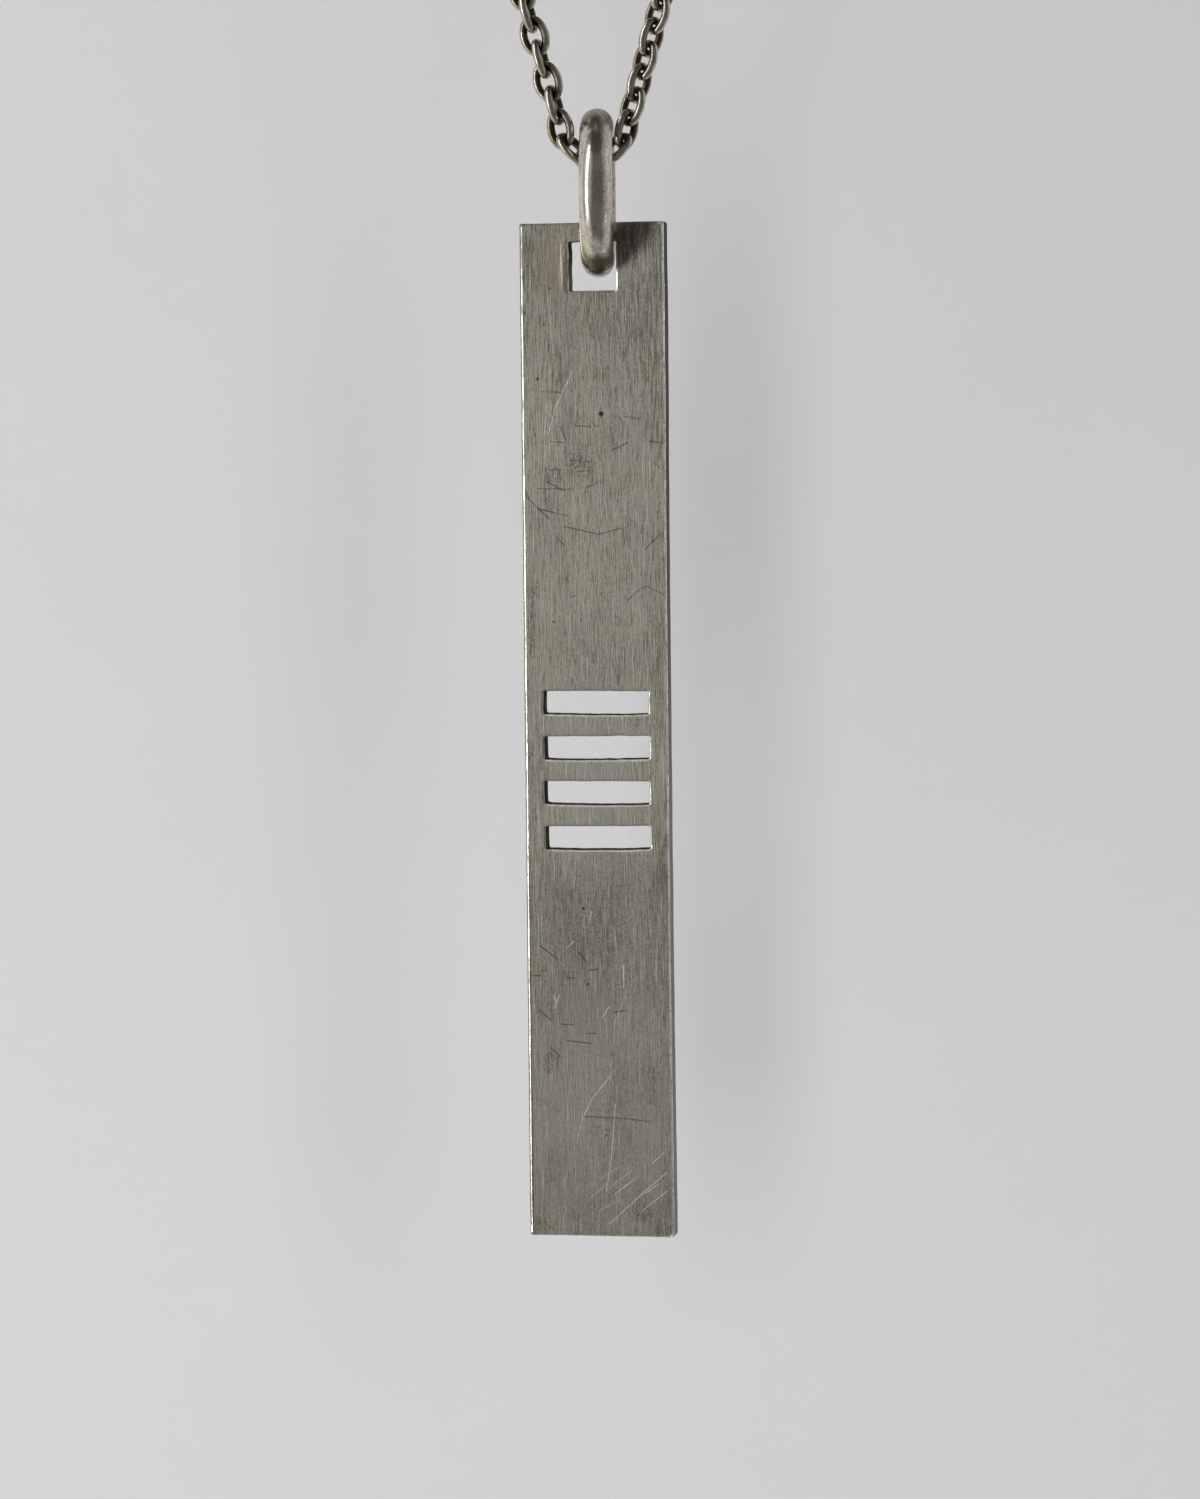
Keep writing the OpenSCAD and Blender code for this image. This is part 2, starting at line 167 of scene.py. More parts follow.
# the sawn bar: sizes in millimetres from its top edge, marks read as x and depth
bar = {
    "size": (10.1, 1.5, 70.16), "top": -296.126, "shift": -0.14, "twist": -10.5, "hang": -0.16,
    "hole": (-1.62, 1.69, -1.27, -4.67),  # left, right, top and foot
    "slots": 4, "slotWidth": 7.42, "slotHeight": 1.56, "slotTop": -32.22, "slotPitch": 3.12,
    "slotMiddle": -0.08, "seed": 7, "slowWander": 0.02, "quickWander": 0.005, "cutWander": 0.027,
    "slotSpan": 3.7, "slotWander": 0.04, "wanderReach": 0.6, "slotSag": 0.07, "sagReach": 0.75,
    "holeWander": 0.09, "holeShare": 0.4, "holeBurr": 0.055, "holeZone": -6,
    "sideFrom": 3.8, "sideSpan": 1.25, "leftWiden": 0.0021, "widenFrom": -4,
    "rightHollow": 0.09, "hollowMiddle": -44, "hollowSpan": 36, "hollow": 0.024,
    "wearFrom": -40, "wearLoss": 0.04, "leastWear": 0.78,
    "leftSlope": 0.15, "leftBend": 0.04, "leftChamfer": 0.44, "bow": 0.012, "hammer": 0.005,
    "columnStep": 0.33, "rowStep": 0.42, "rowMargin": 0.3, "bevel": 0.08, "innerBevel": 0.13,
    "corners": {(-1, 1): 0.2, (1, 1): 0.16, (-1, -1): 0.34, (1, -1): 0.22},
    "insideX": 4.4, "insideTop": -0.9, "insideFoot": -69.0, "slotEndX": 3.4, "leftEdgeX": -4.9,
    "slotEndShine": 0.4, "leftShine": 0.12, "rimReach": 0.25, "lowFrom": -44,
    "holeRims": (0.9, 0.8, 0.1, 0.0), "slotRims": (0.1, 0.15, 0.0, 0.45),  # left, right, top and foot
    "sideRim": 0.3, "leftRims": (0.2, 0.1), "rightRim": 1.0, "topRim": 0.05, "lowRim": 0.3,
    "silver": (0.43, 0.409, 0.341), "tarnish": (0.146, 0.136, 0.104), "worn": (0.86, 0.835, 0.76),
    "side": (0.15, 0.148, 0.147), "sideLowSheen": (0.46, 0.457, 0.46), "sawn": (0.045, 0.038, 0.025),
    "bluish": (0.255, 0.244, 0.24), "rubbed": (0.335, 0.32, 0.31), "brown": (0.27, 0.229, 0.158),
    "pitTone": (0.03, 0.02, 0.012), "roughness": 0.35, "bump": 0.011, "rimShine": 0.3, "darkGrow": 1.25,
    "warp": (0.6, 0.0, 0.45), "warpSize": (0.2, 0, 0),
    "grains": {  # stretch, detail, roughness and shift
        "fine": ((12.5, 12.5, 0.72), 3.0, 0.6), "hair": ((11.0, 11.0, 0.28), 2.0, 0.5, (3.0, 0.0, 9.0)),
        "coarse": ((3.6, 3.6, 0.22), 3.0, 0.6, (7.0, 0.0, 2.0)), "speckle": ((9.0, 9.0, 6.5), 3.0, 0.6),
        "cloud": ((0.33, 0.33, 0.16), 3.0, 0.5, (2.0, 5.0, 1.0)),
        "patch": ((1.1, 1.1, 0.7), 4.0, 0.6, (1.0, 3.0, 8.0)),
    },
    "toneBands": [  # axis, from, to, and the share of the tarnish tone at each: bands darker and lighter down the bar and towards its right edge
        ("Z", -42.5, -45.5, 0.40, 0.67), ("Z", -51.0, -58.0, 0.02, -0.20), ("Z", -3.0, -18.0, 0.19, -0.02),
        ("X", 3.0, 4.8, 0.0, 0.12),
    ],
    "patches": [  # tone, x, depth, flattening, radius inside and outside, strength, whether only on the front
        ("bluish", -0.6, -54.6, 1.0, 0.8, 3.4, 0.4, False),
        ("rubbed", -0.2, -38.2222, 0.45, 1.0, 3.8, 0.4, False),
        ("brown", -2.3, -3.0, 0.6, 0.5, 1.9, 0.55, True),
    ],
    "brightScratches": [  # from x and depth, to x and depth, width
        (-1.41, -10.15, -2.10, -11.50, 0.05), (-2.10, -11.50, -2.67, -12.74, 0.05),
        (-2.67, -12.74, -3.18, -14.47, 0.04), (-0.60, -47.5, -0.66, -48.1, 0.05),
        (1.65, -51.2, 1.64, -52.8, 0.06), (0.63, -58.93, -0.65, -60.5, 0.05),
        (-0.65, -60.5, -1.40, -62.0, 0.05), (-1.40, -62.0, -1.75, -63.4, 0.04),
        (0.95, -60.9, 0.66, -64.4, 0.05), (0.66, -64.4, 0.25, -67.0, 0.05),
        (4.50, -65.65, 2.60, -67.3, 0.06), (2.60, -67.3, 0.42, -69.3, 0.05),
        (4.57, -66.9, 2.80, -68.3, 0.05), (4.42, -64.2, 3.53, -65.0, 0.05),
        (-3.3, -53.4, -3.1, -53.9, 0.07), (-2.9, -53.3, -3.25, -54.3, 0.05),
        (-1.85, -49.6, -2.3, -50.0, 0.05), (0.6, -54.1, 0.1, -54.9, 0.045),
        (-3.25, -12.3, -3.45, -14.5, 0.035), (1.9, -52.9, 0.9, -55.4, 0.025),
        (2.3, -66.1, 0.7, -67.3, 0.035), (2.0, -65.6, 0.5, -66.7, 0.03), (1.2, -67.6, -0.3, -68.4, 0.03),
        (1.3, -65.2, -0.1, -66.1, 0.03), (0.4, -66.4, -0.9, -67.5, 0.03), (2.5, -65.9, 1.1, -67.0, 0.035),
        (3.9, -66.5, 3.0, -67.1, 0.05), (-3.25, -4.0, -2.95, -6.4, 0.03), (-2.95, -6.4, -2.8, -8.9, 0.03),
        (2.6, -36.2, 2.7, -37.4, 0.03), (1.1, -49.2, 1.15, -50.4, 0.03), (-1.75, -1.5, -1.92, -2.05, 0.045),
        (-1.92, -2.05, -1.9, -2.55, 0.045), (-1.9, -2.55, -1.84, -2.95, 0.045),
        (-1.84, -2.95, -1.88, -3.4, 0.045), (-1.88, -3.4, -1.78, -4.2, 0.045),
    ],
    "darkScratches": [  # as above
        (-2.11, -20.84, 0.24, -21.4, 0.05), (0.24, -21.4, 1.9, -20.98, 0.05),
        (-4.87, -18.7, -3.23, -20.29, 0.05), (-3.92, -18.21, -1.46, -18.28, 0.04),
        (1.25, -15.65, 2.34, -15.14, 0.06), (3.51, -22.44, 4.71, -21.33, 0.05),
        (-1.3, -13.9, -0.2, -14.0, 0.05), (2.1, -13.3, 3.2, -13.5, 0.04), (-2.2, -11.6, -3.6, -11.55, 0.04),
        (-2.3, -14.0, -1.95, -14.9, 0.06), (-4.25, -49.9, -3.0, -50.8, 0.06),
        (-1.54, -50.3, -0.98, -51.0, 0.06), (-4.85, -52.0, -4.2, -52.0, 0.06),
        (-0.9, -51.6, -0.1, -51.5, 0.05), (-4.3, -54.4, -3.5, -55.1, 0.06), (0.9, -54.5, 1.7, -54.4, 0.05),
        (-2.4, -56.5, -0.7, -56.7, 0.05), (1.59, -61.9, 3.35, -62.1, 0.045),
        (-1.2, -61.8, 1.4, -61.9, 0.04), (-2.4, -52.1, -1.7, -52.15, 0.05),
        (-3.6, -57.0, -2.9, -57.6, 0.05), (1.2, -14.1, 1.4, -15.3, 0.04), (-2.7, -21.6, -2.1, -22.2, 0.05),
        (2.2, -26.0, 3.1, -25.2, 0.04), (-0.15, -13.6, 0.17, -14.0, 0.04), (1.8, -13.3, 2.05, -13.8, 0.04),
        (2.05, -13.8, 2.08, -14.7, 0.03), (-3.05, -15.0, -2.0, -15.05, 0.04),
        (3.85, -15.05, 4.85, -15.2, 0.05), (-3.3, -17.75, -2.2, -18.35, 0.06),
        (-0.55, -18.15, 0.25, -17.85, 0.04), (-4.0, -19.6, -2.85, -19.85, 0.05),
        (4.15, -16.4, 4.6, -16.9, 0.04), (-1.7, -16.3, -0.2, -16.4, 0.04),
        (-1.5, -17.1, 0.05, -17.0, 0.035), (-3.0, -16.9, -2.35, -16.9, 0.04),
        (-2.35, -16.9, -2.5, -17.4, 0.04), (-4.2, -51.65, -3.75, -51.65, 0.05),
        (-2.85, -55.35, -1.9, -55.4, 0.04), (-1.0, -56.0, -0.35, -56.0, 0.045),
        (-4.84, -18.3, -4.56, -18.97, 0.05), (-3.93, -19.66, -1.83, -20.1, 0.03),
        (3.1, -25.2, 3.6, -25.0, 0.035), (3.6, -25.0, 4.8, -25.6, 0.035),
        (-1.75, -25.75, -1.45, -25.6, 0.05),
    ],
    # x, depth and radius; then x, depth, half width, half height and strength
    "pits": [(0.54, -13.12, 0.2), (-3.88, -10.66, 0.11), (-4.72, -6.09, 0.08), (-1.13, -47.3, 0.12),
             (-0.86, -52.56, 0.1), (-2.95, -4.45, 0.08), (-3.4, -6.95, 0.08), (-1.0, -16.25, 0.06),
             (2.15, -62.0, 0.05), (-2.7, -24.6, 0.05), (-2.9, -41.6, 0.07),
             (-3.0, -27.4, 0.08), (1.04, -25.4, 0.05)],
    "stainsAndShadow": [(-1.1, -16.6, 1.2, 1.6, 0.25), (-3.0, -17.2, 0.9, 0.8, 0.30), (-4.55, -27.5, 0.35, 3.2, 0.35),
               (2.75, -68.5, 0.9, 0.7, 0.5), (-3.6, -58.0, 0.9, 0.8, 0.3), (0.0, -62.9, 0.5, 0.6, 0.25),
               # the stain at x 2.9, depth -0.9 is the ring's shadow painted onto the bar
               (-4.6, -69.4, 1.3, 0.7, 0.5), (4.6, -69.6, 0.9, 0.5, 0.35), (2.9, -0.9, 2.0, 1.2, 0.3),
               (-4.4, -25.3, 0.45, 0.8, 0.45), (4.4, -28.0, 0.4, 0.6, 0.3), (-3.75, -58.6, 0.4, 0.3, 0.5)],
}


def gridStops(stops, step, margin):
    out = []
    for low, high in zip(stops, stops[1:]):
        inner = high - low - 2 * margin
        count = max(1, round(inner / step))
        out += [low] + [low + margin + inner * k / count for k in range(count + 1)]
    return out + [stops[-1]]


def slotBoxes():
    boxes = [bar["hole"]]
    middle = bar["slotMiddle"]
    for k in range(bar["slots"]):
        left, right = middle - bar["slotWidth"] / 2, middle + bar["slotWidth"] / 2
        top = bar["slotTop"] - k * bar["slotPitch"]
        boxes.append((left, right, top, top - bar["slotHeight"]))
    return boxes


def wanderBar(x, z):
    # unevenness of the sawn edges, strongest at the slots
    near = moveX = moveZ = 0.0
    for k, (left, right, top, foot) in enumerate(slotBoxes()):
        gap = max(left - x, x - right, z - top, foot - z, 0.0)
        near = max(near, (1.0 if k else bar["holeShare"]) * max(0.0, 1 - gap / bar["wanderReach"]))
        if k and abs(z - foot) < bar["sagReach"]:
            fall = 1 - abs(z - foot) / bar["sagReach"]
            moveZ -= bar["slotSag"] * max(0.0, 1 - (x / bar["slotSpan"]) ** 2) * fall
        if k and gap < bar["wanderReach"]:
            odd = (k - 1) % 2
            moveX += bar["slotWander"] * odd * (1 - gap / bar["wanderReach"])
            moveZ += bar["slotWander"] * (odd - 0.5) * (x / bar["slotSpan"]) * (1 - gap / bar["wanderReach"])
    if abs(x - bar["hole"][0]) < 0.3 and bar["hole"][3] < z < bar["hole"][2]:
        moveX -= bar["holeWander"] * noise.noise(Vector((2.0, 5.0, z * 1.1)))
    if x < -bar["sideFrom"]:  # the bar widens a little downwards
        moveX += bar["leftWiden"] * (z - bar["widenFrom"]) * (-x - bar["sideFrom"]) / bar["sideSpan"]
    if x > bar["sideFrom"]:  # the right side is sawn slightly hollow
        depth = max(0.0, 1 - ((z - bar["hollowMiddle"]) / bar["hollowSpan"]) ** 2)
        moveX -= bar["rightHollow"] * (x - bar["sideFrom"]) / bar["sideSpan"] * depth
    slow = noise.noise_vector(Vector((x * 0.35, 4.0, z * 0.35)))
    quick = noise.noise_vector(Vector((x * 1.9, 9.0, z * 1.9)))
    wide, size = bar["slowWander"], bar["quickWander"] + bar["cutWander"] * near
    return moveX + slow.x * wide + quick.x * size, moveZ + slow.z * wide + quick.z * size


def rimWearAndHighlight(x, z):
    # how bright the line beside each edge is, in the worn tone: partly wear, partly a painted highlight
    reach = bar["rimReach"]
    for k, (left, right, top, foot) in enumerate(slotBoxes()):
        if left - reach < x < right + reach and foot - reach < z < top + reach:
            gaps = [abs(x - left), abs(x - right), abs(z - top), abs(z - foot)]
            return bar["slotRims" if k else "holeRims"][gaps.index(min(gaps))]
    if abs(x) > bar["size"][0] / 2 - bar["sideRim"]:
        high, low = bar["leftRims"]
        return (high if z > bar["lowFrom"] else low) if x < 0 else bar["rightRim"]
    return bar["topRim"] if z > -1 else bar["lowRim"]


def buildBar(material):
    noise.seed_set(bar["seed"])  # or the edges would wander in another way in each run
    wide, thick, long = bar["size"]
    boxes = slotBoxes()
    sides = [-wide / 2, boxes[1][0], boxes[0][0], boxes[0][1], boxes[1][1], wide / 2]
    columns = gridStops(sides, bar["columnStep"], bar["leftSlope"])
    columns = sorted(columns + [bar["leftSlope"] + bar["leftBend"] - wide / 2])
    levels = sorted({-long, 0.0} | {v for box in boxes for v in box[2:]})
    rows = gridStops(levels, bar["rowStep"], bar["rowMargin"])
    mesh = bmesh.new()
    grid = {}

    def point(i, j, side):
        if (i, j, side) not in grid:
            grid[i, j, side] = mesh.verts.new((columns[i], side * thick / 2, rows[j]))
        return grid[i, j, side]

    def solid(i, j):
        if not (0 <= i < len(columns) - 1 and 0 <= j < len(rows) - 1):
            return False
        x, z = (columns[i] + columns[i + 1]) / 2, (rows[j] + rows[j + 1]) / 2
        return not any(left < x < right and foot < z < top for left, right, top, foot in boxes)

    for i in range(len(columns) - 1):
        for j in range(len(rows) - 1):
            if not solid(i, j):
                continue
            for side in (-1, 1):
                ring = [(i, j), (i + 1, j), (i + 1, j + 1), (i, j + 1)]
                corners = [point(a, b, side) for a, b in ring]
                mesh.faces.new(corners if side < 0 else corners[::-1])
            walls = {(i - 1, j): ((i, j), (i, j + 1)), (i + 1, j): ((i + 1, j + 1), (i + 1, j)),
                     (i, j - 1): ((i + 1, j), (i, j)), (i, j + 1): ((i, j + 1), (i + 1, j + 1))}
            for beside, (a, b) in walls.items():
                if not solid(*beside):
                    mesh.faces.new([point(*a, -1), point(*b, -1), point(*b, 1), point(*a, 1)])
    bmesh.ops.recalc_face_normals(mesh, faces=mesh.faces[:])

    def uprights(test):
        out = []
        for edge in mesh.edges:
            a, b = (vert.co for vert in edge.verts)
            if abs(a.x - b.x) + abs(a.z - b.z) < 1e-5 and edge.calc_face_angle(0.0) > 1.0 and test(a):
                out.append(edge)
        return out

    def cutEdges(edges, offset, profile=0.5):
        bmesh.ops.bevel(mesh, geom=edges, offset=offset, segments=3, profile=profile, affect="EDGES")

    for (sideX, sideZ), cut in bar["corners"].items():
        level = 0.0 if sideZ > 0 else -long
        cutEdges(uprights(lambda p: p.x * sideX > wide / 2 - 0.01 and abs(p.z - level) < 0.01), cut)
    cutEdges(uprights(lambda p: abs(p.x) < wide / 2 - 0.5 and -long + 0.5 < p.z < -0.5), bar["innerBevel"])
    cutEdges([edge for edge in mesh.edges if edge.calc_face_angle(0.0) > 1.0
              and abs(edge.verts[0].co.y - edge.verts[1].co.y) < 1e-5], bar["bevel"], 0.6)
    mesh.normal_update()
    marks = {"edgeWearAndHighlight": [], "sawnFace": [], "outerSideShade": [], "rimWearAndHighlight": []}
    for vert in mesh.verts:
        turns = [abs(f.normal.y) for f in vert.link_faces]
        area = sum(f.calc_area() for f in vert.link_faces)
        flat = sum(f.normal.y ** 2 * f.calc_area() for f in vert.link_faces) / area
        x, z = vert.co.x, vert.co.z
        inside = abs(x) < bar["insideX"] and bar["insideFoot"] < z < bar["insideTop"]
        slotEnd = inside and z < bar["holeZone"] and bar["slotEndX"] < abs(x)
        # the left edge catches the lamp's light as it is, so it gets little of the painted highlight
        shine = bar["slotEndShine"] if slotEnd else bar["leftShine"] if x < bar["leftEdgeX"] else 1.0
        marks["edgeWearAndHighlight"].append(min(1.0, 4 * flat * (1 - flat)) * shine)
        sawnShare = 0.5 if z > bar["holeZone"] else 1.0
        marks["sawnFace"].append(sawnShare * max(0.0, 1 - flat * 2.2) if inside else 0.0)
        marks["outerSideShade"].append(0.0 if inside else max(0.0, 1 - flat * 2.5))
        onRim = max(turns) > 0.999 and min(turns) < 0.996
        marks["rimWearAndHighlight"].append(rimWearAndHighlight(x, z) * (1.0 if onRim else 0.7 if 0.3 < flat < 0.95 else 0.0))
    for vert in mesh.verts:
        p = vert.co
        moveX, moveZ = wanderBar(p.x, p.z)
        sheet = 3.0 if p.y < 0 else 8.0
        bow = bar["bow"] * noise.noise(Vector((p.x * 0.16, sheet, p.z * 0.10)))
        hammer = bar["hammer"] * noise.noise(Vector((p.x * 0.5, sheet, p.z * 0.3)))
        atHole = abs(p.x - bar["hole"][0] + 0.12) < 0.03 and bar["hole"][3] < p.z < bar["hole"][2]
        if p.y < -0.7 and atHole:
            hammer -= bar["holeBurr"] * (0.8 + noise.noise(Vector((7.0, 1.0, p.z * 1.3))))
        if p.y < 0:  # the front left edge is worn to a slope, less so low down
            wear = min(1.0, max(bar["leastWear"], 1 + (p.z - bar["wearFrom"]) * bar["wearLoss"]))
            hammer += bar["leftChamfer"] * max(0.0, bar["leftSlope"] - wide / 2 - p.x) * wear
            hammer += bar["hollow"] * (1 - (2 * p.x / wide) ** 2)
        vert.co = (p.x + moveX, p.y + bow + hammer, p.z + moveZ)
    points = [tuple(v.co) for v in mesh.verts]
    mesh.verts.index_update()
    faces = [[v.index for v in f.verts] for f in mesh.faces]
    mesh.free()
    piece = addPiece("plateBar", points, faces, material, marks)
    piece.modifiers.new("flatFaces", "WEIGHTED_NORMAL").weight = 80
    piece.matrix_world = (Matrix.Translation((bar["shift"] * mm, 0, bar["top"] * mm))
                          @ Matrix.Rotation(math.radians(bar["hang"]), 4, "Y")
                          @ Matrix.Rotation(math.radians(bar["twist"]), 4, "Z"))
    return piece


def scratchGroup():
    # how much a place lies on one straight scratch
    group = bpy.data.node_groups.new("barScratch", "ShaderNodeTree")
    for name in ("Place", "Start", "Run"):
        group.interface.new_socket(name, in_out="INPUT", socket_type="NodeSocketVector")
    group.interface.new_socket("Width", in_out="INPUT", socket_type="NodeSocketFloat")
    group.interface.new_socket("Share", in_out="OUTPUT", socket_type="NodeSocketFloat")
    make = nodeMaker(group)
    given = group.nodes.new("NodeGroupInput").outputs
    away = make("VectorMath", {0: given["Place"], 1: given["Start"]}, operation="SUBTRACT").outputs[0]
    along = make("VectorMath", {0: away, 1: given["Run"]}, operation="DOT_PRODUCT").outputs["Value"]
    size = make("VectorMath", {0: given["Run"], 1: given["Run"]}, operation="DOT_PRODUCT").outputs["Value"]
    share = calc(make, "MINIMUM", calc(make, "MAXIMUM", calc(make, "DIVIDE", along, size), 0.0), 1.0)
    foot = make("VectorMath", {0: given["Run"], "Scale": share}, operation="SCALE").outputs[0]
    near = fade(make, apart(make, away, foot), 0.0, given["Width"], 1.0, 0.0)
    out = group.nodes.new("NodeGroupOutput")
    group.links.new(near, out.inputs["Share"])
    return group


def barSilver():
    material, make, place = startMaterial("brushedBarSilver")
    flat = squash(make, place, (1.0, 0.0, 1.0))
    scratch = scratchGroup()

    def scratchLine(x0, z0, x1, z1, width):
        given = {"Place": flat, "Start": (x0, 0, z0), "Run": (x1 - x0, 0, z1 - z0), "Width": width}
        return make("Group", given, node_tree=scratch).outputs[0]

    def scratches(lines, grow=1.0):
        return gather(make, "MAXIMUM", (scratchLine(*ends, width * grow) for *ends, width in lines))

    def spots(places):
        return gather(make, "MAXIMUM", (
            fade(make, apart(make, flat, (x, 0, z)), radius * 0.6, radius * 1.15, 1.0, 0.0)
            for x, z, radius in places))

    def stain(x, z, wide, high, strength):
        away = make("VectorMath", {0: flat, 1: (x, 0, z)}, operation="SUBTRACT").outputs[0]
        away = squash(make, away, (1 / wide, 0, 1 / high))
        gap = make("VectorMath", {0: away}, operation="LENGTH").outputs["Value"]
        return fade(make, gap, 0.2, 1.25, strength, 0.0)

    split = make("SeparateXYZ", {0: place}).outputs
    front = fade(make, split["Y"], -0.66, -0.73)
    warp = squash(make, grain(make, place, bar["warp"]), bar["warpSize"])
    bent = make("VectorMath", {0: place, 1: warp}, operation="ADD").outputs[0]
    fine, hair, coarse = [grain(make, bent, *bar["grains"][name]) for name in ("fine", "hair", "coarse")]
    speckle, cloud, patch = [grain(make, place, *bar["grains"][name])
                             for name in ("speckle", "cloud", "patch")]
    bright = times(make, scratches(bar["brightScratches"]), front)
    dark = times(make, scratches(bar["darkScratches"], bar["darkGrow"]), front)
    pits = times(make, spots(bar["pits"]), front)
    # stains, with the ring's painted shadow at the top right
    stainsAndShadow = times(make, gather(make, "MAXIMUM", (stain(*row) for row in bar["stainsAndShadow"])), front)
    # the tone goes darker and lighter in bands down the bar, and follows the grain
    low = gather(make, "ADD", (fade(make, split[axis], *run) for axis, *run in bar["toneBands"]))
    share = plus(make, fade(make, cloud, 0.35, 0.68, -0.10, 0.12), low)
    share = plus(make, share, fade(make, coarse, 0.3, 0.7, -0.07, 0.07))
    calmer = fade(make, split["Z"], -42.0, -46.0, 0.86, 0.5)
    share = plus(make, share, times(make, fade(make, fine, 0.37, 0.63, -0.5, 0.49), calmer))
    share = plus(make, share, fade(make, speckle, 0.36, 0.65, -0.21, 0.22))
    share = plus(make, share, times(make, stainsAndShadow, fade(make, speckle, 0.47, 0.6, 0.25, 2.0)), clamp=True)
    tone = blend(make, share, bar["silver"], bar["tarnish"])
    for name, x, z, flattening, inside, outside, strength, onFront in bar["patches"]:
        gap = apart(make, squash(make, flat, (1.0, 0.0, flattening)), (x, 0.0, z * flattening))
        tinted = fade(make, gap, inside, outside, strength, 0.0)
        tone = blend(make, times(make, tinted, front) if onFront else tinted, tone, bar[name])
    tone = blend(make, times(make, fade(make, hair, 0.57, 0.70, 0.0, 0.27), front), tone, bar["worn"])
    tone = blend(make, times(make, bright, fade(make, speckle, 0.38, 0.6, 0.35, 0.85)), tone, bar["worn"])
    tone = blend(make, times(make, dark, 0.88), tone, bar["sawn"])
    # bevels painted in the worn tone: partly wear, partly a painted highlight
    edge = marked(make, "edgeWearAndHighlight")
    nibble = fade(make, grain(make, place, (2.5, 2.5, 2.5), 3.0), 0.32, 0.55, 0.35, 1.0)
    tone = blend(make, times(make, edge, nibble, clamp=True), tone, bar["worn"])
    # lines beside the edges in the worn tone: partly wear, partly a painted highlight
    rim = fade(make, marked(make, "rimWearAndHighlight"), 0.12, 0.62)
    tone = blend(make, times(make, rim, nibble, clamp=True), tone, bar["worn"])
    # painted shade: the bar's outer side walls are painted dark grey, and lighter lower down as a painted
    # sheen
    sideShadeMask = marked(make, "outerSideShade")
    sideShadeTone = blend(make, fade(make, split["Z"], -14.0, -46.0), bar["side"], bar["sideLowSheen"])
    tone = blend(make, times(make, sideShadeMask, fade(make, patch, 0.3, 0.6, 0.92, 0.66)), tone, sideShadeTone)
    sawn = marked(make, "sawnFace")
    sawLines = grain(make, place, (1.2, 7.0, 1.2), 3.0)
    tone = blend(make, times(make, sawn, fade(make, sawLines, 0.3, 0.7, 1.0, 0.72)), tone, bar["sawn"])
    tone = blend(make, times(make, pits, 0.92), tone, bar["pitTone"])
    rough = plus(make, fade(make, fine, 0.3, 0.7, bar["roughness"] - 0.05, bar["roughness"] + 0.06),
                 times(make, share, 0.07))
    rough = calc(make, "SUBTRACT", rough, times(make, edge, 0.1))
    rough = plus(make, rough, times(make, sawn, 0.22))
    across = make("SeparateXYZ", {0: place}).outputs["X"]  # the worn left slope is polished
    rough = calc(make, "SUBTRACT", rough, fade(make, across, -4.88, -4.92, 0.0, 0.15))
    height = plus(make, times(make, fine, 0.5), times(make, coarse, 0.35))
    height = plus(make, height, times(make, speckle, 0.12))
    return finishMetal(material, make, tone, rough, height, bar["bump"], bar["rimShine"])


plateBar = buildBar(barSilver())
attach(plateBar, "plate")
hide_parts("plate")
print("bar made with", len(plateBar.data.polygons), "faces")


# the heavy ring: round wire, bent by hand
bail = {
    "middle": -294.086, "shift": 0.19, "turn": -1.8, "radius": 4.65, "wire": 1.13, "steps": 200, "sides": 40,
    "silver": (0.72, 0.68, 0.575), "tarnish": (0.23, 0.20, 0.15), "pepper": (0.05, 0.04, 0.025),
    "roughness": 0.19, "bump": 0.0055, "uneven": 0.012,
}


def bailSilver():
    material, make, place = startMaterial("polishedBailSilver")
    inner = marked(make, "innerSide")
    split = make("SeparateXYZ", {0: place}).outputs
    around = times(make, calc(make, "ARCTAN2", split["Y"], split["Z"]), bail["radius"])
    out = squash(make, place, (0.0, 1.0, 1.0))
    out = make("VectorMath", {0: out}, operation="LENGTH").outputs["Value"]
    out = calc(make, "SUBTRACT", out, bail["radius"])
    across = times(make, calc(make, "ARCTAN2", split["X"], out), bail["wire"])
    slant = plus(make, around, times(make, across, 0.3))
    brushed = make("CombineXYZ", {"X": slant, "Y": across, "Z": 0.0}).outputs[0]
    strokes = grain(make, brushed, (8.0, 0.9, 1.0), 3.0, 0.6)
    patch = grain(make, place, (0.8, 0.8, 0.55), 4.0, 0.6, (1.0, 2.0, 6.0))
    mottle = grain(make, place, (4.0, 4.0, 4.0), 4.0, 0.65)
    pepper = make("TexVoronoi", {"Vector": place, "Scale": 1.7, "Randomness": 1.0}).outputs["Distance"]
    # painted shade: the ring is painted darker at its top and bottom
    ends = plus(make, fade(make, split["Z"], 4.3, 5.2, 0.0, 0.85),
                fade(make, split["Z"], -5.0, -5.5, 0.0, 0.5))
    share = plus(make, fade(make, patch, 0.36, 0.66, 0.0, 0.4), fade(make, inner, -0.2, 0.9, 0.0, 0.6))
    share = plus(make, plus(make, share, ends), fade(make, mottle, 0.36, 0.66, -0.17, 0.24), clamp=True)
    tone = blend(make, share, bail["silver"], bail["tarnish"])
    tone = blend(make, fade(make, pepper, 0.05, 0.10, 0.6, 0.0), tone, bail["pepper"])
    rough = plus(make, fade(make, mottle, 0.3, 0.7, bail["roughness"] - 0.05, bail["roughness"] + 0.07),
                 times(make, share, 0.1))
    torn = times(make, fade(make, across, 0.1, 0.9), fade(make, strokes, 0.35, 0.65, 0.02, 0.26))
    rough = plus(make, rough, torn)
    height = plus(make, times(make, mottle, 0.35), times(make, strokes, 0.65))
    return finishMetal(material, make, tone, rough, height, bail["bump"])


